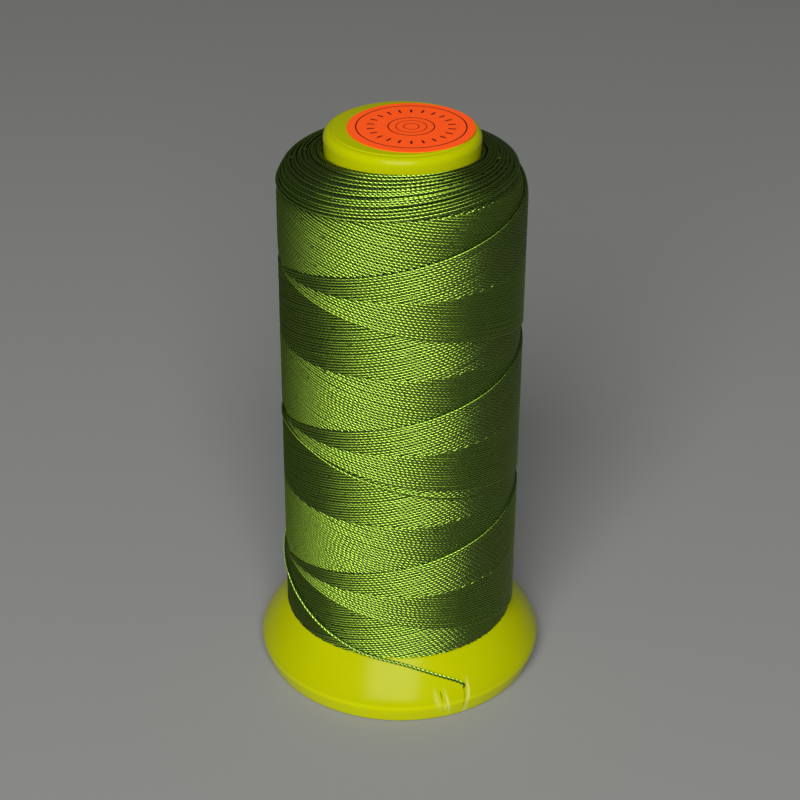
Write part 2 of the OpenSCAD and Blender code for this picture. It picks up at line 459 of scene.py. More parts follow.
@dataclass
class Studio:
    """Camera, lamps, world and floor."""

    aim_z: float = 54.6
    distance: float = 371.3
    elevation: float = 29.34
    roll: float = 0.32
    lens: float = 93.23
    shift_x: float = -0.00144
    shift_y: float = -0.0113
    key_azimuth: float = -6.0
    key_elevation: float = 37.0
    key_distance: float = 1400.0
    key_size: tuple[float, float] = (940.0, 1040.0)
    key_power: float = 33.0
    world_level: float = 0.05
    floor_size: float = 6000.0

    def build(self, floor: bpy.types.Material) -> None:
        """Build everything that isn't part of the object.

        Args:
            floor: the finish of the floor.
        """
        self.build_camera()
        self.build_lamps()
        self.build_floor(floor)

    def build_camera(self) -> None:
        """Place the camera on its line of sight to the package."""
        data = bpy.data.cameras.new("camera")
        data.sensor_width = 36.0
        data.lens = self.lens
        data.shift_x = self.shift_x
        data.shift_y = self.shift_y
        data.clip_start = 0.01
        camera = bpy.data.objects.new("camera", data)
        bpy.context.scene.collection.objects.link(camera)
        roll = Matrix.Rotation(math.radians(self.roll), 4, "Z")
        camera.matrix_world = self.looking_on(0.0, self.elevation, self.distance) @ roll
        bpy.context.scene.camera = camera

    def build_lamps(self) -> None:
        """Hang one large soft box in front and set a plain, weak world."""
        lamp = bpy.data.lights.new("soft_box", "AREA")
        lamp.shape = "RECTANGLE"
        lamp.size = self.key_size[0] * MM
        lamp.size_y = self.key_size[1] * MM
        lamp.energy = self.key_power
        box = bpy.data.objects.new("soft_box", lamp)
        bpy.context.scene.collection.objects.link(box)
        box.matrix_world = self.looking_on(self.key_azimuth, self.key_elevation, self.key_distance)
        world = bpy.data.worlds.new("world")
        world.use_nodes = True
        back = world.node_tree.nodes["Background"]
        back.inputs["Color"].default_value = (1.0, 1.0, 1.0, 1.0)
        back.inputs["Strength"].default_value = self.world_level
        bpy.context.scene.world = world
        bpy.context.scene.view_settings.view_transform = "Standard"

    def looking_on(self, azimuth: float, elevation: float, distance: float) -> Matrix:
        """Stand something so that it looks at the package.

        Args:
            azimuth: degrees from the front towards +X.
            elevation: degrees above the level.
            distance: millimetres from the package.

        Returns:
            Its matrix.
        """
        return (
            Matrix.Translation((0.0, 0.0, self.aim_z * MM))
            @ Matrix.Rotation(math.radians(azimuth), 4, "Z")
            @ Matrix.Rotation(math.radians(90.0 - elevation), 4, "X")
            @ Matrix.Translation((0.0, 0.0, distance * MM))
        )

    def build_floor(self, material: bpy.types.Material) -> None:
        """Lay the floor.

        Args:
            material: its finish.
        """
        bm = bmesh.new()
        bmesh.ops.create_grid(bm, x_segments=2, y_segments=2, size=self.floor_size * MM / 2)
        place_mesh("floor", mesh_from(bm), material)


# ----------------------------------------------------------------------------------- turned parts


def rounded(before: Vector, corner: Vector, after: Vector, cut: float, steps: int = 6) -> Profile:
    """Round a corner of a profile.

    Args:
        before: the point before the corner.
        corner: the corner.
        after: the point after it.
        cut: how far from the corner the rounding starts.
        steps: how many pieces it has.

    Returns:
        Points of the rounding, from the side of before.
    """
    first = corner + (before - corner).normalized() * cut
    last = corner + (after - corner).normalized() * cut
    found = []
    for i in range(steps + 1):
        t = i / steps
        point = first * (1 - t) ** 2 + corner * 2 * t * (1 - t) + last * t**2
        found.append((point.x, point.y))
    return found


def spin_profile(profile: Profile, columns: int) -> bmesh.types.BMesh:
    """Spin a closed profile all the way round the axis.

    Args:
        profile: its points, as radius and height.
        columns: how many columns of faces it makes.

    Returns:
        The closed shell, with its faces outwards.
    """
    bm = bmesh.new()
    ring = [bm.verts.new(at_azimuth(0.0, *point)) for point in profile]
    edges = [bm.edges.new(pair) for pair in zip(ring, ring[1:] + ring[:1])]
    bmesh.ops.spin(
        bm,
        geom=ring + edges,
        cent=(0.0, 0.0, 0.0),
        axis=(0.0, 0.0, 1.0),
        angle=2 * math.pi,
        steps=columns,
        use_merge=True,
    )
    bmesh.ops.recalc_face_normals(bm, faces=bm.faces)
    return bm


@dataclass
class TurnedShell:
    """A turned mesh with slits, made column by column, because its columns follow the slits.

    Its normals are worked out from the profile, so that the slits leave no marks in the shading.
    """

    places: list[Vector] = field(default_factory=list)
    faces: list[list[int]] = field(default_factory=list)
    normals: list[Vector] = field(default_factory=list)
    stress: list[float] = field(default_factory=list)
    cuts: set[int] = field(default_factory=set)

    def profile_normals(self, profile: Profile) -> list[tuple[Vector, Vector]]:
        """Work out the outward normals of a closed profile.

        Args:
            profile: its points.

        Returns:
            Two normals for each point, just before it and just after it.
        """
        count = len(profile)
        edges = []
        for i in range(count):
            run = Vector(profile[(i + 1) % count]) - Vector(profile[i])
            edges.append(Vector((run.y, -run.x)).normalized())
        found = []
        for i in range(count):
            before, after = edges[i - 1], edges[i]
            if before.angle(after) < math.radians(SHARP_ANGLE):
                middle = (before + after).normalized()
                found.append((middle, middle))
            else:
                found.append((before, after))
        return found

    def column(self, azimuth: float, profile: Profile, warp: Warp) -> list[int]:
        """Add a column of points.

        Args:
            azimuth: where it stands, in degrees.
            profile: its points, as radius and height.
            warp: moves them.

        Returns:
            The points' numbers.
        """
        first = len(self.places)
        for radius, z in profile:
            turn, out, pale = warp(azimuth, radius, z)
            self.places.append(at_azimuth(turn, out, z))
            self.stress.append(pale)
        return list(range(first, len(self.places)))

    def strip(
        self,
        left: Column,
        right: Column,
        normals: list[tuple[Vector, Vector]],
        segments: list[int],
    ) -> None:
        """Join two columns by faces.

        Args:
            left: the first column.
            right: the next one, further round.
            normals: the profile's normals.
            segments: which pieces of the profile are joined.
        """
        count = len(left[1])
        for i in segments:
            j = (i + 1) % count
            self.faces.append([left[1][i], right[1][i], right[1][j], left[1][j]])
            self.normals += [
                self.turned(normals[i][1], left[0]),
                self.turned(normals[i][1], right[0]),
                self.turned(normals[j][0], right[0]),
                self.turned(normals[j][0], left[0]),
            ]

    def close_ends(self, columns: list[Column], across: list[int]) -> None:
        """Close the first and the last column with flat faces.

        Args:
            columns: the columns, the last one furthest round.
            across: the profile's points that the faces join.
        """
        for column, order in ((columns[0][1], across[::-1]), (columns[-1][1], across)):
            points = [column[i] for i in order]
            corners = [self.places[i] for i in points]
            normal = Vector()
            for one, two in zip(corners, corners[1:] + corners[:1]):
                normal += one.cross(two)
            self.cuts.add(len(self.faces))
            self.faces.append(points)
            self.normals += [normal.normalized()] * len(points)

    def close_gap(
        self, left: Column, right: Column, across: tuple[int, int], facing: float
    ) -> None:
        """Close the shell between two points of a profile with a nearly level face.

        Args:
            left: the first column.
            right: the next one, further round.
            across: the profile's points that the face joins.
            facing: 1 if it looks up and -1 if it looks down.
        """
        one, two = across
        self.cuts.add(len(self.faces))
        self.faces.append([left[1][one], left[1][two], right[1][two], right[1][one]])
        self.normals += [Vector((0.0, 0.0, facing))] * 4

    @staticmethod
    def turned(normal: Vector, azimuth: float) -> Vector:
        """Turn a profile's normal to an azimuth."""
        turn = math.radians(azimuth)
        return Vector((normal.x * math.sin(turn), -normal.x * math.cos(turn), normal.y))

    def mesh(self) -> bpy.types.Mesh:
        """Make the mesh.

        Returns:
            The mesh, with the paleness of its points as the "stress" attribute.
        """
        used = sorted({i for face in self.faces for i in face})
        number = {old: new for new, old in enumerate(used)}
        mesh = bpy.data.meshes.new("piece")
        faces = [[number[i] for i in face] for face in self.faces]
        mesh.from_pydata([self.places[i] for i in used], [], faces)
        mesh.shade_smooth()
        sharp = {key for cut in self.cuts for key in mesh.polygons[cut].edge_keys}
        for edge in mesh.edges:
            edge.use_edge_sharp = edge.key in sharp
        mesh.normals_split_custom_set([normal[:] for normal in self.normals])
        layer = mesh.attributes.new("stress", "FLOAT", "POINT")
        layer.data.foreach_set("value", [self.stress[i] for i in used])
        return mesh


class Slit(Enum):
    """The slits on both sides of the catch, as heights in millimetres and their azimuths there."""

    LEFT = ((0.0, 18.7), (3.3, 17.6), (5.7, 16.9), (7.0, 16.7))
    RIGHT = ((0.0, 26.9), (2.8, 26.5), (5.5, 27.3), (7.0, 27.5))

    def azimuth(self, z: float) -> float:
        """Azimuth of the slit at a height."""
        heights, azimuths = zip(*self.value)
        return float(np.interp(z, heights, azimuths))


@dataclass(frozen=True)
class BendMark:
    """A place beside a slit where bending has moved the plastic or turned it pale.

    Its middle is degrees from the slit and a height, and its reach is degrees and millimetres. It
    stands out by so many millimetres, and pale is 1 where the plastic has gone white.
    """

    slit: Slit
    middle: tuple[float, float]
    reach: tuple[float, float]
    out: float
    pale: float

    def share(self, azimuth: float, z: float) -> float:
        """How strong the mark is at a place, from 0 to 1."""
        aside = near(azimuth, self.slit.azimuth(z) + self.middle[0], self.reach[0])
        return aside * near(z, self.middle[1], self.reach[1])


@dataclass
class Foot:
    """The foot of the barrel, with the catch that holds the line's end between two slits."""

    # Outline, in millimetres: pairs are a radius and a height
    stand_r: float = 25.2
    inner_r: float = 23.4
    rim: tuple[float, float] = (26.35, 3.7)
    neck: tuple[float, float] = (21.2, 10.95)
    crown_rise: float = 0.4
    rim_cut: float = 0.9
    stand_cut: float = 0.4
    thickness: float = 1.6
    seat: tuple[tuple[float, float], ...] = ((16.0, 12.0), (11.0, 13.0))
    spigot_r: float = 9.48
    spigot_top: float = 25.0
    spigot_cut: float = 0.6
    bore_r: float = 8.0
    hub: tuple[tuple[float, float], ...] = ((9.5, 2.0), (9.5, 11.4))
    neck_under: tuple[float, float] = (19.44, 9.59)
    rim_under: tuple[tuple[float, float], ...] = ((24.6, 3.0), (24.0, 1.5))
    # Root of the catch: how far up the crown, where it bends, and how the slits close there
    root_share: float = 0.31
    root_fade: tuple[float, float] = (0.05, 0.3)
    root_azimuth: float = 23.0
    root_bend: float = 1.2
    # Slits: degrees over which the columns lean to follow them, and how far they gape. The left
    # one has a widest height and a reach. The right one has a gap at the floor and more above a
    # height, where it holds the line.
    split_z: float = 6.0
    slit_reach: float = 3.0
    edge_reach: float = 0.35
    left_gap: tuple[float, float, float] = (0.36, 5.3, 0.7)
    right_gap: tuple[float, float, float, float] = (0.14, 0.41, 5.3, 0.8)
    catch_gap: float = 0.1
    # What bending did to the outer skin, which lies between these radii. The catch swells
    # towards the floor, from a height down.
    catch_swell: tuple[float, float, float] = (0.05, 4.6, 4.0)
    skin_r: tuple[float, float] = (24.0, 25.2)
    marks: tuple[BendMark, ...] = (
        BendMark(Slit.RIGHT, (2.1, 4.0), (0.45, 3.4), 0.08, 0.5),
        BendMark(Slit.RIGHT, (1.0, 0.4), (0.8, 0.35), 0.0, 0.5),
        BendMark(Slit.LEFT, (1.9, 3.3), (0.5, 1.9), 0.1, 0.5),
        BendMark(Slit.LEFT, (0.2, 2.9), (0.4, 0.5), 0.0, 0.6),
        BendMark(Slit.LEFT, (-0.9, 4.3), (0.6, 1.3), -0.16, 0.0),
        BendMark(Slit.LEFT, (-2.2, 4.4), (0.7, 1.6), 0.06, 0.2),
    )
    # Degrees between columns, and the azimuths between which they are coarse
    fine: float = 0.4
    coarse: float = 2.5
    plain: tuple[float, float] = (32.0, 372.0)

    def crown(self, share: float, depth: float = 0.0) -> tuple[float, float]:
        """Point of the crown.

        Args:
            share: 0 at the rim and 1 at the neck.
            depth: how far below the outer surface.

        Returns:
            Radius and height.
        """
        rim, neck = Vector(self.rim), Vector(self.neck)
        run = neck - rim
        out = Vector((run.y, -run.x)).normalized()
        bulge = self.crown_rise * 4 * share * (1 - share)
        point = rim.lerp(neck, share) + out * (bulge - depth)
        return point.x, point.y

    def profile(self) -> tuple[Profile, int, int]:
        """Closed profile of the foot.

        Returns:
            The profile, and the numbers of the outer and the inner point at the catch's root.
        """
        inside, stand, rim = Vector((self.inner_r, 0)), Vector((self.stand_r, 0)), Vector(self.rim)
        outer = [(self.inner_r, 0.0), *rounded(inside, stand, rim, self.stand_cut, 4)]
        outer.append(stand.lerp(rim, 0.5)[:])
        outer += rounded(stand, rim, Vector(self.crown(0.15)), self.rim_cut)
        # The points of the crown are close together down to the rim, where the catch bends
        outer += [self.crown(share) for share in (0.16, 0.2, 0.25, self.root_share)]
        outer_root = len(outer) - 1
        outer += [self.crown(0.4 + 0.1 * i) for i in range(6)]
        outer += [self.neck, *self.seat, (self.spigot_r, self.seat[-1][1])]
        top, cut = self.spigot_top, self.spigot_cut
        outer += [(self.spigot_r, top - cut), (self.spigot_r - cut, top)]
        outer += [(self.bore_r + cut, top), (self.bore_r, top - cut)]
        outer += [(self.bore_r, self.hub[0][1]), *self.hub, self.neck_under]
        shares = (0.9, 0.7, 0.5, 0.35, self.root_share, 0.12)
        inner = [self.crown(share, self.thickness) for share in shares]
        return [*outer, *inner, *self.rim_under], outer_root, len(outer) + len(inner) - 2

    def warp(self, catch: bool) -> Warp:
        """Shape the plastic near the slits, which was bent when the line was pulled in.

        Args:
            catch: whether it is for the catch, and not for the foot round it.

        Returns:
            The warp.
        """
        left, right = (slit.azimuth(self.split_z) for slit in (Slit.LEFT, Slit.RIGHT))
        root_z = self.crown(self.root_share)[1] + self.root_fade[0]

        def bend(azimuth: float, radius: float, z: float) -> tuple[float, float, float]:
            """Move a point to where it was bent.

            Args:
                azimuth: where it stands, in degrees.
                radius: its distance from the axis.
                z: its height.

            Returns:
                Its new azimuth and radius, and how pale it is.
            """
            moved = azimuth
            moved += (Slit.LEFT.azimuth(z) - left) * near(azimuth, left, self.slit_reach)
            moved += (Slit.RIGHT.azimuth(z) - right) * near(azimuth, right, self.slit_reach)
            below_root = smooth((root_z - z) / self.root_fade[1])
            widest, widest_z, reach = self.left_gap
            left_gap = widest * near(z, widest_z, reach) * near(azimuth, left, self.edge_reach)
            at_floor, more, more_from, rise = self.right_gap
            right_gap = at_floor + more * smooth((z - more_from) / rise)
            at_right = near(azimuth, right, self.edge_reach)
            shares = [mark.share(azimuth, z) for mark in self.marks]
            out = sum(mark.out * share for mark, share in zip(self.marks, shares))
            pale = sum(mark.pale * share for mark, share in zip(self.marks, shares))
            if catch:
                moved += below_root * (left_gap - self.catch_gap * at_right)
                swell, swell_z, fall = self.catch_swell
                out += swell * smooth((swell_z - z) / fall)
            elif azimuth <= left:
                moved -= below_root * left_gap
            elif azimuth >= right:
                moved += below_root * right_gap * at_right
            skin = smooth((radius - self.skin_r[0]) / (self.skin_r[1] - self.skin_r[0]))
            return moved, radius + out * skin, min(1.0, pale * skin)

        return bend

    def build(self, finish: bpy.types.Material) -> list[bpy.types.Object]:
        """Make the foot and its catch.

        Args:
            finish: the plastic.

        Returns:
            The two pieces.
        """
        profile, outer_root, inner_root = self.profile()
        count = len(profile)
        left, right = (slit.azimuth(self.split_z) for slit in (Slit.LEFT, Slit.RIGHT))
        low = [i % count for i in range(inner_root, count + outer_root)]
        high = [i for i in range(count) if i not in low]
        between = self.evenly(left, right, self.fine)
        around = [
            *self.evenly(right, self.plain[0], self.fine),
            *self.evenly(*self.plain, self.coarse)[1:-1],
            *self.evenly(self.plain[1], left + 360.0, self.fine),
        ]
        shell = TurnedShell()
        normals = shell.profile_normals(profile)
        warp = self.warp(catch=False)
        rings = [(turn, shell.column(turn % 360.0, profile, warp)) for turn in around]
        for one, two in zip(rings, rings[1:]):
            shell.strip(one, two, normals, list(range(count)))
        middle = [(turn, shell.column(turn, profile, warp)) for turn in between[1:-1]]
        middle = [rings[-1], *middle, rings[0]]
        for one, two in zip(middle, middle[1:]):
            shell.strip(one, two, normals, high)
            shell.close_gap(one, two, (outer_root, inner_root), -1.0)
        shell.close_ends(rings, [*low, outer_root])
        foot = fit_piece("foot_shell", shell.mesh(), finish, "foot_flange")

        shell = TurnedShell()
        warp = self.warp(catch=True)
        rings = [(turn, shell.column(turn, profile, warp)) for turn in between]
        for one, two in zip(rings, rings[1:]):
            shell.strip(one, two, normals, low)
            shell.close_gap(one, two, (inner_root, outer_root), 1.0)
        shell.close_ends(rings, [*low, outer_root])
        catch = place_mesh("catch_shell", shell.mesh(), finish)
        root = at_azimuth(self.root_azimuth, *self.crown(self.root_share))
        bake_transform(catch)
        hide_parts("catch_tongue")
        return [foot, catch]

    @staticmethod
    def evenly(first: float, last: float, step: float) -> list[float]:
        """Evenly spaced values from one to another, no further apart than a step."""
        pieces = max(1, math.ceil((last - first) / step))
        return [first + (last - first) * i / pieces for i in range(pieces + 1)]


@dataclass
class Cap:
    """The cap on top: a shallow disc in a rounded collar, with a plug down into the barrel.

    The groove between disc and collar is pairs of a radius and a depth below the disc.
    """

    top: float = 105.2
    disc_r: float = 12.0
    disc_step: float = 0.2
    groove_r: float = 12.12
    groove: tuple[tuple[float, float], ...] = ((12.05, 0.14), (11.95, 0.03))
    edge_cut: float = 0.2
    collar_r: float = 13.4
    collar_round: float = 1.5
    collar_low: float = 99.5
    barrel_r: float = 11.02
    seat_z: float = 103.2
    plug_r: float = 9.48
    plug_bore_r: float = 8.08
    plug_low: float = 94.2
    spindle_r: float = 4.0
    columns: int = 180

    def profile(self) -> Profile:
        """Outline the cap.

        Returns:
            Its closed profile, up the outside first.
        """
        cut = self.edge_cut
        points = [(self.barrel_r, self.collar_low), (self.collar_r - cut, self.collar_low)]
        collar_z = self.top - self.disc_step - self.collar_round
        wide = self.collar_r - self.groove_r
        for turn in np.radians(np.linspace(0.0, 90.0, 10)):
            height = collar_z + self.collar_round * math.sin(turn)
            points.append((self.groove_r + wide * math.cos(turn), height))
        points += [(radius, self.top - depth) for radius, depth in self.groove]
        points += [(self.disc_r - cut, self.top), (self.spindle_r + cut, self.top)]
        points += [(self.spindle_r, self.top - cut), (self.spindle_r, self.seat_z)]
        points += [(self.plug_bore_r, self.seat_z), (self.plug_bore_r, self.plug_low)]
        points += [(self.plug_r - cut, self.plug_low), (self.plug_r, self.plug_low + 2 * cut)]
        return points + [(self.plug_r, self.seat_z), (self.barrel_r, self.seat_z)]

    def build(self, finish: bpy.types.Material) -> list[bpy.types.Object]:
        """Make the cap.

        Args:
            finish: the plastic.

        Returns:
            The piece.
        """
        mesh = mesh_from(spin_profile(self.profile(), self.columns), SHARP_ANGLE)
        return [fit_piece("cap_shell", mesh, finish, "top_cap")]


# ---------------------------------------------------------------------------------------- winding


@dataclass(frozen=True)
class PackageSide:
    """The outside of the wound package, in the plane of the axis, in millimetres.

    It runs on past the neck by an overhang, down the slope of the foot.
    """

    foot_z: float = 10.95
    neck_r: float = 21.2
    shoulder_z: float = 92.8
    package_r: float = 21.45
    shoulder_h: float = 8.2
    shoulder_power: float = 2.35
    shoulder_lean: float = 1.2
    cap_r: float = 13.45
    overhang: float = 1.5
    foot_slope: tuple[float, float] = (0.571, -0.82)

    def curve(self) -> np.ndarray:
        """Draw the side.

        Returns:
            Its points, from the foot up and over the shoulder to the cap.
        """
        turn = np.radians(np.linspace(0.0, 90.0, 181))
        slope = np.array(self.foot_slope) * self.overhang
        power = 2 / self.shoulder_power
        wide = self.package_r - self.cap_r
        radius = self.cap_r + wide * np.cos(turn).clip(0) ** power
        height = self.shoulder_z + self.shoulder_h * np.sin(turn) ** power
        side = np.stack([np.r_[self.neck_r, radius], np.r_[self.foot_z, height]], axis=1)
        return np.concatenate([[side[0] + slope, side[0] + slope * 0.5], side])

    def lift(self, radius: np.ndarray | float) -> np.ndarray | float:
        """How much higher the shoulder stands at the front than on average, at a radius."""
        share = (self.package_r - radius) / (self.package_r - self.cap_r)
        return self.shoulder_lean * np.clip(share, 0.0, 1.0)

    def table(self) -> tuple[np.ndarray, np.ndarray, np.ndarray]:
        """Measure the side.

        Returns:
            The length along the side up to each point, the points, and the normals there.
        """
        points = self.curve()
        runs = np.linalg.norm(np.diff(points, axis=0), axis=1)
        along = np.r_[0.0, np.cumsum(runs)] - self.overhang
        run = np.gradient(points, along, axis=0)
        normals = np.stack([run[:, 1], -run[:, 0]], axis=1)
        return along, points, normals / np.linalg.norm(normals, axis=1, keepdims=True)


class Lay(Enum):
    """Which way a stroke of the line runs round the package, seen from the front."""

    RISING = 1
    FALLING = -1


@dataclass
class Strand:
    """One stroke of the line: its course over the side of the package, column by column."""

    lay: Lay
    age: int
    columns: np.ndarray
    along: np.ndarray
    height: np.ndarray


@dataclass
class Winder:
    """Works out the course and the height of every stroke that stays in sight.

    The lay is crossed: rising and falling strokes alternate, each pair shifted a little round the
    package against the last, so that older strokes go under younger ones of the other lay.
    """

    side: PackageSide
    line_d: float = 0.5
    # Crossed lay: the height where the youngest strokes cross, and how they turn at both ends
    strokes: int = 57
    lead: float = 29.2
    apex_azimuth: float = -71.0
    apex_z: float = 82.8
    top_z: float = 99.8
    turn_ease: float = 0.16
    low_spread: tuple[float, float] = (-0.5, 0.45)
    crown: float = 0.45
    # How far the strokes stray along the side and in height, in so many waves in a radian
    stray: tuple[float, float] = (0.018, 0.012)
    stray_waves: tuple[float, ...] = (0.7, 1.9, 4.3, 9.1)
    # Nearly level turns on the shoulder: their tilt, which dies out over a length, their pitch,
    # and for each layer how far up it starts and how deep it lies. Their ends dive by a depth
    # over some radians, and the strokes sink under them by a depth over a length.
    shoulder_from: float = 97.2
    tilt: float = 1.4
    tilt_azimuth: float = 100.0
    shoulder_pitch: float = 0.76
    shoulder_layers: tuple[tuple[float, float], ...] = ((0.38, 0.52), (0.0, 0.25))
    shoulder_end: float = 0.2
    shoulder_settle: float = 6.0
    shoulder_uneven: float = 0.09
    shoulder_dive: tuple[float, float] = (0.8, 1.2)
    shoulder_sink: tuple[float, float] = (0.5, 1.6)
    # The turn that lies loose: its height in front, its fall in a radian, its ends in degrees,
    # the radians over which they come up, and the columns over which it bridges hollows
    loose_z: float = 46.45
    loose_fall: float = 5.65
    loose_ends: tuple[float, float] = (-92.0, 52.0)
    loose_dive: tuple[float, float] = (0.35, 0.3)
    loose_reach: int = 21
    # Height map, in columns round the package and rows up its side
    columns: int = 720
    row_h: float = 0.125
    seed: int = 7
    strands: list[Strand] = field(default_factory=list)

    def __post_init__(self) -> None:
        """Set up the side's table, the height map and the random draws."""
        self.along, self.points, self.normals = self.side.table()
        self.rows = int((self.along[-1] - self.along[0]) / self.row_h) + 1
        self.map = np.full((self.columns, self.rows), NOTHING)
        self.rise = self.lead / (2 * math.pi)
        self.column_turn = 2 * math.pi / self.columns
        self.draws = np.random.default_rng(self.seed)
        self.apex_along = self.apex_z - self.side.foot_z
        self.apex_turn = math.radians(self.apex_azimuth)
        self.spacing = self.lead / self.strokes

    def along_at_z(self, z: float) -> float:
        """Length along the side at a height."""
        return float(np.interp(z, self.points[:, 1], self.along))

    def wander(self, turn: np.ndarray, size: float) -> np.ndarray:
        """Wander slowly and at random along a stroke.

        Args:
            turn: azimuths of its columns, in radians.
            size: how far it wanders.

        Returns:
            How far off it is at each column.
        """
        wave = self.draws.random(len(self.stray_waves)) * 2 * math.pi
        parts = [np.sin(turn * f + w) for f, w in zip(self.stray_waves, wave)]
        return size * (self.draws.normal() + sum(parts) * 0.6)

    def lattice_strand(self, lay: Lay, age: int) -> Strand:
        """Course and height of one stroke of the crossed lay.

        Args:
            lay: which way it runs.
            age: how many double strokes were wound after it.

        Returns:
            The strand.
        """
        first, span = self.low_spread
        low = span * self.draws.random() + first - self.rise * self.turn_ease
        start_turn = self.apex_turn + age * 2 * math.pi / self.strokes
        bottom_turn, top_turn = (
            start_turn + lay.value * (along - self.apex_along) / self.rise
            for along in (low, self.along_at_z(self.top_z))
        )
        ends = np.sort((bottom_turn - lay.value * 0.1, top_turn)) / self.column_turn
        columns = np.arange(math.ceil(ends[0]), math.floor(ends[1]) + 1)
        turn = columns * self.column_turn
        along = low + self.rise * np.sqrt((turn - bottom_turn) ** 2 + self.turn_ease**2)
        # Age of the stroke of the other lay that crosses here; the older of the two is under
        climb = self.rise * (turn - self.apex_turn)
        other = (lay.value * (along - self.apex_along) + climb) / self.spacing % self.strokes
        under = 1.0 - smooth(other - age + (lay is Lay.FALLING))
        depth = self.line_d * (0.5 + (age + other) / self.strokes + under)
        sunk, over = self.shoulder_sink
        sink = sunk * smooth((along - self.shoulder_foot(turn) + 0.3) / over)
        height = self.crown - depth - sink + self.wander(turn, self.stray[1])
        return Strand(lay, age, columns, along + self.wander(turn, self.stray[0]), height)

    def shoulder_foot(self, turn: np.ndarray) -> np.ndarray:
        """Lowest reach of the nearly level turns on the shoulder, as a length along the side."""
        tilt = np.cos(turn - math.radians(self.tilt_azimuth))
        return self.along_at_z(self.shoulder_from) + self.tilt * tilt

    def shoulder_strands(self) -> list[Strand]:
        """Lay out the nearly level turns on the shoulder.

        Returns:
            One long strand for each layer, the lower one first.
        """
        found = []
        end = self.along[-1] - self.shoulder_end
        start = self.along_at_z(self.shoulder_from)
        turns = int((end - start) / self.shoulder_pitch)
        for layer, (first, depth) in enumerate(self.shoulder_layers):
            columns = np.arange(turns * self.columns)
            turn = columns * self.column_turn
            climb = start + first + self.shoulder_pitch * turn / (2 * math.pi)
            columns = columns + self.columns // 2
            tilt = self.shoulder_foot(columns * self.column_turn) - start
            along = climb + tilt * smooth((end - climb) / self.shoulder_settle)
            # The pitch is uneven, and changes at every quarter turn
            uneven = self.draws.normal(0.0, self.shoulder_uneven, 4 * turns + 3)
            along = along + np.interp(turn / (2 * math.pi) * 4, np.arange(len(uneven)), uneven)
            deeper, over = self.shoulder_dive
            dive = 2 - smooth(turn / over) - smooth((turn[-1] - turn) / over)
            height = self.crown - depth + self.wander(turn, 0.02) - deeper * dive
            found.append(Strand(Lay.RISING, -1 - layer, columns, along.clip(0, end), height))
        return found

    def loose_strand(self) -> Strand:
        """Lay out the falling turn that has slipped and lies on top of the others in front.

        Its height is that of what it lies on, so the others are laid first.

        Returns:
            The strand.
        """
        first, last = (round(math.radians(end) / self.column_turn) for end in self.loose_ends)
        columns = np.arange(first, last + 1)
        turn = columns * self.column_turn
        along = self.loose_z - self.side.foot_z - self.loose_fall * turn
        along = along + self.wander(turn, 0.03)
        base = np.floor((along - self.along[0]) / self.row_h).astype(int)
        held = np.max([self.map[columns % self.columns, base + i] for i in (-1, 0, 1)], axis=0)
        for reduce in (np.max, np.mean):
            padded = np.pad(held, self.loose_reach // 2, mode="edge")
            windows = np.lib.stride_tricks.sliding_window_view(padded, self.loose_reach)
            held = reduce(windows, axis=1)
        left, right = self.loose_dive
        proud = smooth((turn - turn[0]) / left) * smooth((turn[-1] - turn) / right)
        height = held + 0.4 * self.line_d - (1 - proud)
        return Strand(Lay.FALLING, -3, columns, along, height)

    def lay_strand(self, strand: Strand) -> None:
        """Raise the height map by a strand.

        Args:
            strand: the strand.
        """
        for row, away in self.footprint(strand):
            columns = strand.columns % self.columns
            top = self.top_over(strand, away)
            self.map[columns, row] = np.maximum(self.map[columns, row], top)

    def footprint(self, strand: Strand) -> list[tuple[np.ndarray, np.ndarray]]:
        """Find the rows of the height map that a strand covers.

        Args:
            strand: the strand.

        Returns:
            Rows, one for each of its columns, with their distance from its middle.
        """
        above = strand.along - self.along[0]
        base = np.floor(above / self.row_h).astype(int)
        rows = [(base + offset).clip(0, self.rows - 1) for offset in range(-2, 3)]
        return [(row, (row + 0.5) * self.row_h - above) for row in rows]

    def top_over(self, strand: Strand, away: np.ndarray) -> np.ndarray:
        """Work out the height of a strand's upper surface.

        Args:
            strand: the strand.
            away: distance from its middle, for each of its columns.

        Returns:
            The height, and no strand past its edge.
        """
        radius = self.line_d / 2
        top = strand.height + radius * np.sqrt((1 - (away / radius) ** 2).clip(0))
        return np.where(np.abs(away) < radius, top, NOTHING)

    def wind(self) -> None:
        """Lay every stroke, the oldest first."""
        for age in range(self.strokes - 1, -1, -1):
            self.strands.append(self.lattice_strand(Lay.RISING, age))
            self.strands.append(self.lattice_strand(Lay.FALLING, age))
        self.strands += self.shoulder_strands()
        for strand in self.strands:
            self.lay_strand(strand)
        self.strands.append(self.loose_strand())
        self.lay_strand(self.strands[-1])

    def runs(self, strand: Strand, spare: int = 3) -> list[slice]:
        """Stretches of a strand that stay in sight.

        Args:
            strand: a strand that has been laid.
            spare: columns kept past each end, under what covers it.

        Returns:
            The stretches, as slices of its columns.
        """
        columns = strand.columns % self.columns
        shown = np.zeros(len(columns), int)
        for row, away in self.footprint(strand):
            shown += self.top_over(strand, away) > self.map[columns, row] - 0.01
        # Short gaps are closed, and then short scraps go
        seen = widen(~widen(~widen(shown >= 2, 3), 5), spare + 2)
        edges = np.flatnonzero(np.diff(np.r_[0, seen.astype(int), 0]))
        return [slice(a, b) for a, b in zip(edges[::2], edges[1::2])]

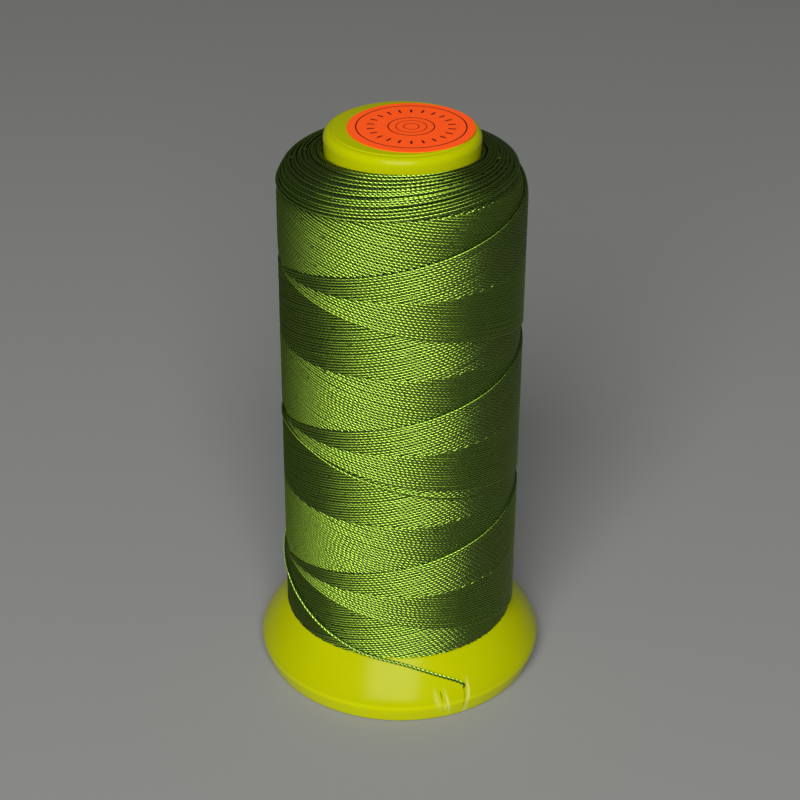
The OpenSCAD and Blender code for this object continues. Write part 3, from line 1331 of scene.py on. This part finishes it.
    def course(self, strand: Strand) -> tuple[np.ndarray, np.ndarray]:
        """Place a strand in space.

        Args:
            strand: the strand.

        Returns:
            A point for every column, in millimetres, and the length run up to it.
        """
        turn = strand.columns * self.column_turn
        radius, z, out, up = (
            np.interp(strand.along, self.along, values[:, i])
            for values in (self.points, self.normals)
            for i in (0, 1)
        )
        z = z + strand.height * up + self.side.lift(radius) * np.cos(turn)
        radius = radius + strand.height * out
        points = np.stack([radius * np.sin(turn), -radius * np.cos(turn), z], axis=1)
        steps = np.linalg.norm(np.diff(points, axis=0), axis=1)
        return points, np.r_[0.0, np.cumsum(steps)]


@dataclass
class TwistedLine:
    """Three plies laid together, drawn as one lobed tube that turns along its length.

    Each ply has a corner of the section at every bend, in degrees from its crest, and a groove
    beside it. The tube is a little thicker than the line, because its lobes have less body.
    """

    tube_d: float = 0.55
    lay_mm: float = 2.5
    rings_per_ply: int = 3
    plies: int = 3
    bends: tuple[float, ...] = (-40.0, 40.0)
    groove_r: float = 0.36

    @property
    def step(self) -> float:
        """Distance between rings, so that every ply crest falls on a ring."""
        return self.lay_mm / self.plies / self.rings_per_ply

    @property
    def corners(self) -> list[tuple[float, float]]:
        """Outline the section, ply by ply.

        Returns:
            Angle and share of the radius of each corner.
        """
        ply_r = 1 / (1 + 1 / math.sin(math.pi / self.plies))
        found = []
        for ply in range(self.plies):
            middle = 2 * math.pi / self.plies * ply
            for bend in self.bends:
                out = 1 - ply_r + ply_r * math.cos(math.radians(bend))
                aside = ply_r * math.sin(math.radians(bend))
                found.append((middle + math.atan2(aside, out), math.hypot(out, aside)))
            found.append((middle + math.pi / self.plies, self.groove_r))
        return found

    def crest(self, share: float) -> float:
        """How far a corner of the section stands out of the grooves, from 0 to 1."""
        return (share - self.groove_r) / (max(s for _, s in self.corners) - self.groove_r)

    def section(self) -> bpy.types.Object:
        """Draw the cross-section of the line.

        Returns:
            A closed curve for the tube.
        """
        data = bpy.data.curves.new("line_section", "CURVE")
        data.dimensions = "2D"
        spline = data.splines.new("POLY")
        spline.points.add(len(self.corners) - 1)
        for point, (turn, share) in zip(spline.points, self.corners):
            reach = share * self.tube_d / 2 * MM
            point.co = (reach * math.cos(turn), reach * math.sin(turn), 0.0, 1.0)
        spline.use_cyclic_u = True
        section = bpy.data.objects.new("line_section", data)
        bpy.context.scene.collection.objects.link(section)
        return section

    def cut(self, points: np.ndarray, length: np.ndarray, start: float, end: float) -> np.ndarray:
        """Take a stretch of a line, with a point at every ring.

        Args:
            points: the line's points in millimetres.
            length: the length run up to each.
            start: where the stretch starts.
            end: where it ends.

        Returns:
            Rows of x, y, z and length.
        """
        rings = np.arange(math.ceil(start / self.step), max(math.floor(end / self.step), 0) + 1)
        at = rings * self.step
        return np.stack([*(np.interp(at, length, points[:, i]) for i in range(3)), at], axis=1)

    def tubes(
        self, paths: list[tuple[np.ndarray, float]], section: bpy.types.Object
    ) -> bpy.types.Mesh:
        """Sweep the section along paths.

        Args:
            paths: rows of x, y, z and length in millimetres, and the angle of the plies at 0.
            section: the cross-section.

        Returns:
            One mesh of all the tubes, with the direction of the filaments on its vertices.
        """
        data = bpy.data.curves.new("line_paths", "CURVE")
        data.dimensions = "3D"
        data.twist_mode = "Z_UP"
        data.bevel_mode = "OBJECT"
        data.bevel_object = section
        data.use_fill_caps = True
        for path, start in paths:
            spline = data.splines.new("POLY")
            spline.points.add(len(path) - 1)
            flat = np.ones((len(path), 4), np.float32)
            flat[:, :3] = path[:, :3] * MM
            spline.points.foreach_set("co", flat.ravel())
            tilt = (start + 2 * math.pi * path[:, 3] / self.lay_mm).astype(np.float32)
            spline.points.foreach_set("tilt", tilt)
        holder = bpy.data.objects.new("line_paths", data)
        bpy.context.scene.collection.objects.link(holder)
        graph = bpy.context.evaluated_depsgraph_get()
        mesh = bpy.data.meshes.new_from_object(holder.evaluated_get(graph))
        bpy.data.objects.remove(holder)
        bpy.data.curves.remove(data)
        mesh.shade_smooth()
        self.mark_fibres(mesh, [len(path) for path, _ in paths])
        return mesh

    def mark_fibres(self, mesh: bpy.types.Mesh, rings: list[int]) -> None:
        """Write the direction of the filaments, which follow the plies, as a vertex attribute.

        Args:
            mesh: the tubes.
            rings: how many rings each tube has.
        """
        corners = len(self.corners)
        places = np.empty(len(mesh.vertices) * 3, np.float32)
        mesh.vertices.foreach_get("co", places)
        places = places.reshape(-1, 3)
        fibres = np.zeros_like(places)
        caps = (len(places) - sum(rings) * corners) // len(rings)
        first = 0
        for count in rings:
            last = first + count * corners
            tube = places[first:last].reshape(count, corners, 3)
            fibres[first:last] = np.gradient(tube, axis=0).reshape(-1, 3)
            fibres[last : last + caps] = places[last - 1] - places[last - 1 - corners]
            first = last + caps
        if first != len(places):
            raise ValueError(f"{first} of {len(places)} vertices are on rings")
        fibres /= np.linalg.norm(fibres, axis=1, keepdims=True).clip(1e-9)
        layer = mesh.attributes.new("fibre", "FLOAT_VECTOR", "POINT")
        layer.data.foreach_set("vector", fibres.ravel())
        # The "ply" attribute, 0 in the grooves, is the mask of the painted shade in the grooves
        crests = np.array([self.crest(share) for _, share in self.corners], np.float32)
        shares = [np.tile(crests, count + caps // corners) for count in rings]
        layer = mesh.attributes.new("ply", "FLOAT", "POINT")
        layer.data.foreach_set("value", np.concatenate(shares))


@dataclass
class WoundCore:
    """What lies under the strands in sight, as one solid round the barrel.

    Beside the cap it lies deeper, so that the level turns there stay in sight. Its shoulder leans
    as the package's does, and its top under the cap is level.
    """

    side: PackageSide
    depth: float = 0.68
    depth_at_cap: float = 1.15
    near_cap: tuple[float, float] = (0.6, 2.6)
    barrel_r: float = 11.05
    floor_z: float = 11.9
    lean_from: float = 92.0
    top_z: float = 99.3
    columns: int = 144

    def profile(self) -> Profile:
        """Outline the core.

        Returns:
            Its closed profile, up the outside first.
        """
        _, points, normals = self.side.table()
        from_cap = points[:, 0] - self.side.cap_r
        shown = (points[:, 1] > self.floor_z + 0.5) & (from_cap > self.near_cap[0])
        depth = np.interp(from_cap, self.near_cap, (self.depth_at_cap, self.depth))
        outer = (points - normals * depth[:, None])[shown][::4].tolist()
        low = [(self.barrel_r, self.floor_z + 1.2), (outer[0][0], self.floor_z)]
        high = [(self.side.cap_r, z) for z in (outer[-1][1], self.top_z)]
        return [*low, *map(tuple, outer), *high, (self.barrel_r, self.top_z)]

    def build(self, finish: bpy.types.Material) -> list[bpy.types.Object]:
        """Make the core.

        Args:
            finish: the buried line's dark colour, painted as the shade between the strands.

        Returns:
            The piece.
        """
        bm = spin_profile(self.profile(), self.columns)
        for vert in bm.verts:
            if vert.co.z > self.lean_from * MM and abs(vert.co.z / MM - self.top_z) > 0.01:
                radius = math.hypot(vert.co.x, vert.co.y)
                vert.co.z -= self.side.lift(radius / MM) * MM * vert.co.y / radius
        mesh = mesh_from(bm, SHARP_ANGLE)
        return [fit_piece("buried_line", mesh, finish, "wound_line_core")]


@dataclass
class WoundPackage:
    """The wound line in sight, in pieces that hold no more than so many triangles.

    The plies of neighbouring strokes are out of step by a share of a ply's turn.
    """

    winder: Winder
    line: TwistedLine
    out_of_step: float = 0.42
    least_rings: int = 4
    most_triangles: int = 190_000

    def build(self, finish: bpy.types.Material) -> list[bpy.types.Object]:
        """Wind the package and make its pieces.

        Args:
            finish: the line's finish.

        Returns:
            The pieces.
        """
        self.winder.wind()
        section = self.line.section()
        ring = 2 * len(self.line.corners)
        groups: list[list[tuple[np.ndarray, float]]] = [[]]
        used, total = 0, 0
        for strand in self.winder.strands:
            points, length = self.winder.course(strand)
            turn = strand.columns * self.winder.column_turn
            level = math.hypot(self.winder.side.package_r, self.winder.rise) * turn[0]
            start = 2 * math.pi * (level - strand.lay.value * self.out_of_step * strand.age)
            for run in self.winder.runs(strand):
                path = self.line.cut(points, length, length[run.start], length[run.stop - 1])
                if len(path) < self.least_rings:
                    continue
                if used + len(path) * ring > self.most_triangles:
                    groups.append([])
                    used = 0
                used += len(path) * ring
                total += len(path)
                groups[-1].append((path, start / self.line.lay_mm))
        log.info("line in sight: %.1f m, %d triangles", total * self.line.step * MM, total * ring)
        pieces = []
        for number, paths in enumerate(groups, 1):
            name = f"wound_line_{number}"
            mesh = self.line.tubes(paths, section)
            pieces.append(fit_piece(name, mesh, finish, "wound_line_outer"))
        bpy.data.objects.remove(section)
        return pieces


@dataclass
class LineTail:
    """The free end: it runs down over the foot and is held in the slit of the catch."""

    line: TwistedLine
    cord_d: float = 0.5
    route: tuple[tuple[float, float, float], ...] = (
        (-118, 21.00, 25.2), (-113, 21.05, 24.8), (-108, 21.30, 24.3), (-103, 21.50, 23.7),
        (-98, 21.50, 23.1), (-93, 21.50, 22.4), (-88, 21.50, 21.7), (-83, 21.50, 21.0),
        (-78, 21.50, 20.3), (-73, 21.50, 19.7), (-68, 21.50, 18.9), (-63, 21.50, 18.1),
        (-58, 21.50, 17.3), (-53, 21.50, 16.5), (-48, 21.50, 15.7), (-43, 21.50, 14.9),
        (-38, 21.50, 14.2), (-33, 21.50, 13.6), (-28, 21.50, 12.9), (-23, 21.50, 12.2),
        (-18, 21.50, 11.65), (-13, 21.52, 11.3), (-8, 21.62, 11.0), (-4, 21.80, 10.8),
        (0, 22.02, 10.55), (4, 22.32, 10.2), (8, 22.70, 9.77), (12, 23.15, 9.25),
        (16, 23.62, 8.65), (20, 24.10, 8.0), (23, 24.48, 7.45), (25.3, 24.78, 6.95),
        (26.7, 25.06, 6.6), (27.4, 25.22, 6.25), (27.5, 25.20, 5.7), (27.5, 25.18, 5.0),
        (27.5, 25.05, 4.0), (27.5, 24.85, 3.0), (27.5, 24.65, 2.0), (27.5, 24.45, 1.0),
    )

    def build(self, finish: bpy.types.Material) -> list[bpy.types.Object]:
        """Make the cord.

        Args:
            finish: the line's finish.

        Returns:
            The piece.
        """
        points = np.array([at_azimuth(*stop)[:] for stop in self.route]) / MM
        length = np.r_[0.0, np.cumsum(np.linalg.norm(np.diff(points, axis=0), axis=1))]
        section = self.line.section()
        path = self.line.cut(points, length, 0.0, length[-1])
        path[0, :3] = points[0]
        mesh = self.line.tubes([(path, 0.0)], section)
        bpy.data.objects.remove(section)
        piece = fit_piece("free_end", mesh, finish, "line_tail")
        log.info("free end: %.2f mm", length[-1])
        return [piece]


# ------------------------------------------------------------------------------------------- main


def main() -> None:
    """Build the scene and report each piece."""
    logging.basicConfig(level=logging.INFO, format="%(message)s")
    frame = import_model()
    Studio().build(FLOOR_PAPER.build())
    nylon, lime = NylonLine().build(), LimePlastic().build()
    # The free end lies alone, in plain sight, so its plies are drawn rounder and deeper
    tail = TwistedLine(tube_d=0.62, rings_per_ply=8, bends=(-40.0, 0.0, 40.0), groove_r=0.22)
    pieces = LineTail(tail).build(nylon)
    for node, finish in (("barrel_tube", lime), ("paper_label", LabelPaper().build())):
        for slot in frame["nodes"][node].material_slots:
            slot.material = finish
        pieces.append(frame["nodes"][node])
    pieces += Foot().build(lime)
    pieces += Cap().build(lime)
    side = PackageSide()
    # The core is painted dark, as the shade between the strands in sight
    pieces += WoundCore(side).build(BURIED_LINE_SHADE.build())
    pieces += WoundPackage(Winder(side), TwistedLine()).build(nylon)
    for piece in pieces:
        log.info("%s: %d faces", piece.name, len(piece.data.polygons))


if __name__ == "__main__":
    main()
